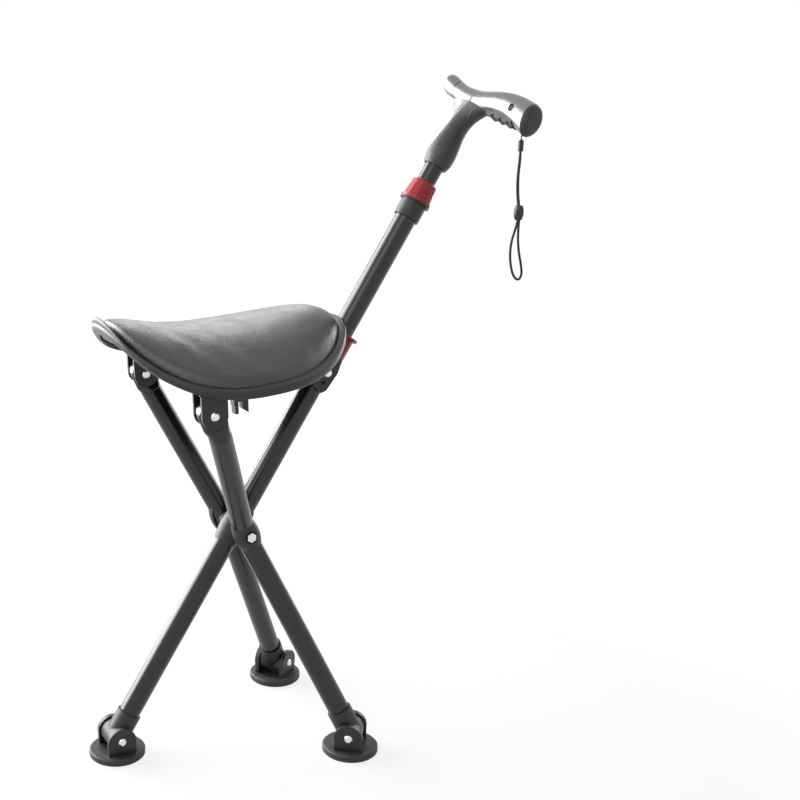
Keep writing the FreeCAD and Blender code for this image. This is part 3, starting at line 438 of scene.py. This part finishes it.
# %% [markdown]
# Each finish is a small node tree. The helpers below add noise, turn it into a range of roughness or
# of colour, and end in a bump. Texture places come from the object itself, so the grain moves with
# its piece.

# %% Helpers for finishes


class Finish:
    """A material with one shader and short calls that feed its sockets."""

    def __init__(self, name, colour, roughness, metallic=0.0):
        self.material = bpy.data.materials.new(name)
        self.material.use_nodes = True
        self.tree = self.material.node_tree
        self.shader = self.tree.nodes["Principled BSDF"]
        self.shader.inputs["Base Color"].default_value = (*colour, 1.0)
        self.shader.inputs["Roughness"].default_value = roughness
        self.shader.inputs["Metallic"].default_value = metallic
        self.place = self.node("ShaderNodeTexCoord").outputs["Object"]
        self.bumped = None

    def node(self, kind, **settings):
        made = self.tree.nodes.new(kind)
        for key, value in settings.items():
            setattr(made, key, value)
        return made

    def join(self, source, target):
        self.tree.links.new(source, target)

    def set(self, **values):
        for key, value in values.items():
            self.shader.inputs[key.replace("_", " ")].default_value = value
        return self

    def stretched(self, scale):
        mapping = self.node("ShaderNodeMapping")
        mapping.inputs["Scale"].default_value = scale
        self.join(self.place, mapping.inputs["Vector"])
        return mapping.outputs["Vector"]

    def noise(self, per_metre, detail=3.0, stretch=None):
        made = self.node("ShaderNodeTexNoise")
        made.inputs["Scale"].default_value = per_metre
        made.inputs["Detail"].default_value = detail
        self.join(self.stretched(stretch) if stretch else self.place, made.inputs["Vector"])
        return made.outputs["Fac"]

    def cells(self, per_metre, feature="F1", randomness=1.0):
        made = self.node("ShaderNodeTexVoronoi", feature=feature)
        made.inputs["Scale"].default_value = per_metre
        made.inputs["Randomness"].default_value = randomness
        self.join(self.place, made.inputs["Vector"])
        return made.outputs["Distance"]

    def ranged(self, source, low, high, source_low=0.3, source_high=0.7):
        made = self.node("ShaderNodeMapRange")
        limits = (("From Min", source_low), ("From Max", source_high), ("To Min", low), ("To Max", high))
        for key, value in limits:
            made.inputs[key].default_value = value
        self.join(source, made.inputs["Value"])
        return made.outputs["Result"]

    def tinted(self, factor, first, second):
        made = self.node("ShaderNodeMix", data_type="RGBA")
        colours = [socket for socket in made.inputs if socket.type == "RGBA"]
        colours[0].default_value = (*first, 1.0)
        colours[1].default_value = (*second, 1.0)
        self.join(factor, made.inputs[0])
        result = [socket for socket in made.outputs if socket.type == "RGBA"][0]
        self.join(result, self.shader.inputs["Base Color"])
        return self

    def rough(self, source, low, high):
        self.join(self.ranged(source, low, high), self.shader.inputs["Roughness"])
        return self

    def bump(self, height, depth, strength=1.0):
        made = self.node("ShaderNodeBump")
        made.inputs["Strength"].default_value = strength
        made.inputs["Distance"].default_value = depth
        self.join(height, made.inputs["Height"])
        if self.bumped:
            self.join(self.bumped, made.inputs["Normal"])
        self.bumped = made.outputs["Normal"]
        self.join(self.bumped, self.shader.inputs["Normal"])
        return self


def powder_coat():
    finish = Finish("powder_coat_black", (0.008, 0.008, 0.009), 0.26)
    finish.tinted(finish.noise(35.0), (0.006, 0.006, 0.007), (0.011, 0.011, 0.012))
    finish.rough(finish.noise(180.0), 0.21, 0.25)
    finish.bump(finish.noise(1200.0, 2.0), 0.000004, 0.1)
    return finish.set(Specular_IOR_Level=0.5).material


def moulded_black():
    finish = Finish("moulded_black", (0.010, 0.010, 0.011), 0.46)
    finish.tinted(finish.noise(60.0), (0.007, 0.007, 0.008), (0.013, 0.013, 0.014))
    finish.rough(finish.noise(400.0), 0.42, 0.52)
    finish.bump(finish.noise(3500.0, 2.0), 0.00003, 0.5)
    return finish.material


def sole_rubber():
    finish = Finish("sole_rubber", (0.022, 0.022, 0.022), 0.6)
    finish.tinted(finish.noise(80.0), (0.017, 0.017, 0.017), (0.030, 0.029, 0.028))
    finish.rough(finish.noise(300.0), 0.52, 0.7)
    finish.bump(finish.noise(2200.0, 4.0), 0.00006, 0.5)
    return finish.material


def red_moulding():
    finish = Finish("red_moulding", (0.42, 0.016, 0.024), 0.36)
    finish.tinted(finish.noise(50.0), (0.36, 0.012, 0.018), (0.47, 0.020, 0.028))
    finish.rough(finish.noise(350.0), 0.30, 0.42)
    finish.bump(finish.noise(3000.0, 2.0), 0.00002, 0.4)
    return finish.material


def bright_steel():
    finish = Finish("bright_steel", (0.72, 0.72, 0.73), 0.26, 1.0)
    finish.rough(finish.noise(900.0), 0.2, 0.36)
    finish.bump(finish.noise(1800.0, 3.0), 0.00003, 0.5)
    return finish.material


def metallic_grip():
    finish = Finish("metallic_grip", (0.21, 0.21, 0.22), 0.34, 0.85)
    finish.tinted(finish.noise(40.0), (0.19, 0.19, 0.20), (0.23, 0.23, 0.235))
    finish.rough(finish.noise(220.0), 0.30, 0.40)
    finish.bump(finish.noise(4000.0, 2.0), 0.00001, 0.5)
    return finish.material

# %% [markdown]
# The stem of the handle is painted metal on the side of the small end, and a dark soft insert on the
# side of the big end. One solid carries both, so the finish splits it with a mask. The mask measures
# how far a point lies out along the grip, and compares that with an edge that curves outwards as it
# climbs. The edge and a second moulding seam beside it are pressed in as fine grooves.

# %% Stem with its insert
INSERT_LOW = 0.464
INSERT_EDGE = -0.0095
INSERT_LEAN = 0.10
INSERT_CURVE = 1.7
INSERT_SEAM = 0.0125
INSERT_BLEND = 0.0005
EDGE_GROOVE_WIDTH = 0.0007
EDGE_GROOVE_DEPTH = 0.0006
SEAM_GROOVE_WIDTH = 0.0006
SEAM_GROOVE_DEPTH = 0.0005


def stem_with_insert():
    """Painted stem whose side towards the big end is a dark soft insert, with a moulding seam in it."""
    finish = Finish("stem_with_insert", (0.21, 0.21, 0.22), 0.34, 0.85)

    def sums(kind, first, second):
        made = finish.node("ShaderNodeMath", operation=kind)
        for socket, value in zip(made.inputs, (first, second)):
            if isinstance(value, float):
                socket.default_value = value
            else:
                finish.join(value, socket)
        return made.outputs[0]

    def distance_along(direction):
        made = finish.node("ShaderNodeVectorMath", operation="DOT_PRODUCT")
        finish.join(finish.place, made.inputs[0])
        made.inputs[1].default_value = direction
        return sums("SUBTRACT", made.outputs["Value"], float(hub.dot(direction)))

    out = distance_along(handle_frame.col[0].to_3d())
    high = sums("MAXIMUM", sums("SUBTRACT", distance_along(handle_frame.col[2].to_3d()), INSERT_LOW), 0.0)
    leaning = sums("MULTIPLY", high, INSERT_LEAN)
    curving = sums("MULTIPLY", sums("POWER", high, 2.0), INSERT_CURVE)
    edge = sums("ADD", leaning, curving)
    past = sums("SUBTRACT", out, sums("ADD", edge, INSERT_EDGE))
    dark = finish.ranged(past, 0.0, 1.0, 0.0, INSERT_BLEND)
    finish.tinted(dark, (0.21, 0.21, 0.22), (0.040, 0.040, 0.038))
    finish.join(finish.ranged(dark, 0.85, 0.0, 0.0, 1.0), finish.shader.inputs["Metallic"])
    finish.join(finish.ranged(dark, 0.34, 0.48, 0.0, 1.0), finish.shader.inputs["Roughness"])
    groove = finish.ranged(sums("ABSOLUTE", past, 0.0), 0.0, 1.0, 0.0, EDGE_GROOVE_WIDTH)
    from_seam = sums("ABSOLUTE", sums("SUBTRACT", past, INSERT_SEAM), 0.0)
    seam = finish.ranged(from_seam, 0.0, 1.0, 0.0, SEAM_GROOVE_WIDTH)
    finish.bump(groove, EDGE_GROOVE_DEPTH, 0.9)
    return finish.bump(seam, SEAM_GROOVE_DEPTH, 0.9).material

# %% Grip, cushion, shell and strap finishes
def dark_grip():
    finish = Finish("dark_grip", (0.030, 0.030, 0.031), 0.5)
    finish.tinted(finish.noise(70.0), (0.024, 0.024, 0.025), (0.038, 0.038, 0.039))
    finish.rough(finish.noise(400.0), 0.42, 0.58)
    finish.bump(finish.noise(2800.0, 3.0), 0.00004, 0.5)
    return finish.material


def leatherette():
    finish = Finish("leatherette", (0.022, 0.022, 0.023), 0.36)
    finish.tinted(finish.noise(25.0), (0.017, 0.017, 0.018), (0.027, 0.026, 0.027))
    finish.rough(finish.noise(60.0), 0.31, 0.42)
    finish.bump(finish.cells(640.0), 0.00035, 0.7)
    finish.bump(finish.noise(1500.0, 4.0), 0.00008, 0.6)
    return finish.set(Specular_IOR_Level=0.75).material


def shell_black():
    finish = Finish("shell_black", (0.014, 0.014, 0.015), 0.38)
    finish.tinted(finish.noise(45.0), (0.011, 0.011, 0.012), (0.019, 0.019, 0.020))
    finish.rough(finish.noise(300.0), 0.33, 0.46)
    finish.bump(finish.noise(2500.0, 3.0), 0.00003, 0.5)
    return finish.material


def twisted_cord():
    finish = Finish("twisted_cord", (0.012, 0.012, 0.013), 0.75)
    finish.tinted(finish.noise(2200.0, 3.0), (0.007, 0.007, 0.008), (0.026, 0.026, 0.028))
    finish.bump(finish.noise(1800.0, 3.0), 0.0003, 0.7)
    return finish.set(Sheen_Weight=0.3).material


def glossy_bead():
    finish = Finish("glossy_bead", (0.012, 0.012, 0.013), 0.3)
    finish.rough(finish.noise(500.0), 0.24, 0.38)
    finish.bump(finish.noise(2500.0, 2.0), 0.00003, 0.5)
    return finish.material


FINISHES = {
    "tube_black": powder_coat(), "fitting_black": moulded_black(), "sole_black": sole_rubber(),
    "red_plastic": red_moulding(), "bright_steel": bright_steel(), "grip_grey": metallic_grip(),
    "grip_dark": dark_grip(), "cushion_cover": leatherette(), "shell_black": shell_black(),
    "cord_black": twisted_cord(), "bead_black": glossy_bead(),
}
print("finishes", len(FINISHES))

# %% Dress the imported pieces
def dress(thing, finish):
    thing.data.materials.clear()
    thing.data.materials.append(finish)


slot_of = {row["node"]: row["material_slot"] for row in frame["record"]["subparts"]}
for name, node in nodes.items():
    dress(node, FINISHES[slot_of[name]])
    node.data.shade_smooth()
dress(nodes["handle_core"], stem_with_insert())
dress(strap, FINISHES["cord_black"])
dress(cushion, FINISHES["cushion_cover"])
dress(rim, FINISHES["shell_black"])
for piece in (cushion, rim):
    piece.data.shade_smooth()

# %% [markdown]
# The floor is a wide pale sheet. Seen by the camera and in reflections it glows, a little less near
# the object than far away, so it goes white like the world behind it, and only the object's shadow
# stays on it. The light that falls on things from all round is weaker than the white that is seen.

# %% Floor and world
FLOOR_HALF = 30.0
FLOOR_GLOW = 0.82
FLOOR_GLOW_FAR = 1.0
FLOOR_NEAR = 0.7
FLOOR_FAR = 1.8
WORLD_ON_OBJECT = 0.34
floor_mesh = bpy.data.meshes.new("floor")
floor_mesh.from_pydata([(-FLOOR_HALF, -FLOOR_HALF, 0), (FLOOR_HALF, -FLOOR_HALF, 0),
                        (FLOOR_HALF, FLOOR_HALF, 0), (-FLOOR_HALF, FLOOR_HALF, 0)], [], [(0, 1, 2, 3)])
floor = bpy.data.objects.new("floor", floor_mesh)
bpy.context.scene.collection.objects.link(floor)


def seen_directly(tree):
    """1 for what the camera sees straight or in a reflection, 0 for the light that falls on things."""
    path = tree.nodes.new("ShaderNodeLightPath")
    seen = tree.nodes.new("ShaderNodeMath")
    seen.operation = "MAXIMUM"
    tree.links.new(path.outputs["Is Camera Ray"], seen.inputs[0])
    tree.links.new(path.outputs["Is Glossy Ray"], seen.inputs[1])
    return seen.outputs[0]


floor_finish = Finish("pale_floor", (0.13, 0.13, 0.13), 1.0)
floor_finish.tinted(floor_finish.noise(3.0), (0.128, 0.128, 0.128), (0.132, 0.132, 0.132))
floor_finish.set(Specular_IOR_Level=0.0)
floor_finish.shader.inputs["Emission Color"].default_value = (1.0, 1.0, 1.0, 1.0)
away = floor_finish.node("ShaderNodeVectorMath", operation="LENGTH")
floor_finish.join(floor_finish.place, away.inputs[0])
level = floor_finish.ranged(away.outputs["Value"], FLOOR_GLOW, FLOOR_GLOW_FAR, FLOOR_NEAR, FLOOR_FAR)
glow = floor_finish.node("ShaderNodeMath", operation="MULTIPLY")
floor_finish.join(level, glow.inputs[0])
floor_finish.join(seen_directly(floor_finish.tree), glow.inputs[1])
floor_finish.join(glow.outputs[0], floor_finish.shader.inputs["Emission Strength"])
dress(floor, floor_finish.material)

world = bpy.data.worlds.new("studio")
bpy.context.scene.world = world
world.use_nodes = True
sky = world.node_tree.nodes["Background"]
sky.inputs["Color"].default_value = (1.0, 1.0, 1.0, 1.0)
level = world.node_tree.nodes.new("ShaderNodeMapRange")
level.inputs["To Min"].default_value = WORLD_ON_OBJECT
level.inputs["To Max"].default_value = 1.0
world.node_tree.links.new(seen_directly(world.node_tree), level.inputs["Value"])
world.node_tree.links.new(level.outputs["Result"], sky.inputs["Strength"])

# %% [markdown]
# Dark satin tubes show almost nothing but their lamps. A tall soft box behind on the left draws the
# bright band along each tube's left edge, and a narrow one behind on the right draws the thin line on
# the other edge. A small weak one low behind lays the sheen on the back of the pad. One by the camera
# keeps the near sides from going black.

# %% Lamps
STAGE_MIDDLE = Vector((0.15, 0.0, 0.42))


def lamp(name, direction, distance, size, watts):
    data = bpy.data.lights.new(name, "AREA")
    data.shape = "RECTANGLE"
    data.size, data.size_y = size
    data.energy = watts
    made = bpy.data.objects.new(name, data)
    bpy.context.scene.collection.objects.link(made)
    made.location = STAGE_MIDDLE + Vector(direction).normalized() * distance
    made.rotation_euler = Vector(direction).to_track_quat("Z", "Y").to_euler()
    return made


lamp("left_box", (-0.62, 0.74, 0.24), 2.1, (2.5, 2.4), 190.0)
lamp("right_strip", (0.894, 0.44, 0.12), 2.2, (0.35, 2.0), 16.0)
lamp("pad_box", (0.36, 0.84, 0.40), 2.2, (0.8, 0.6), 6.0)
lamp("near_box", (-0.75, -0.62, 0.75), 2.2, (1.2, 1.2), 8.0)

bpy.context.scene.view_settings.view_transform = "Standard"
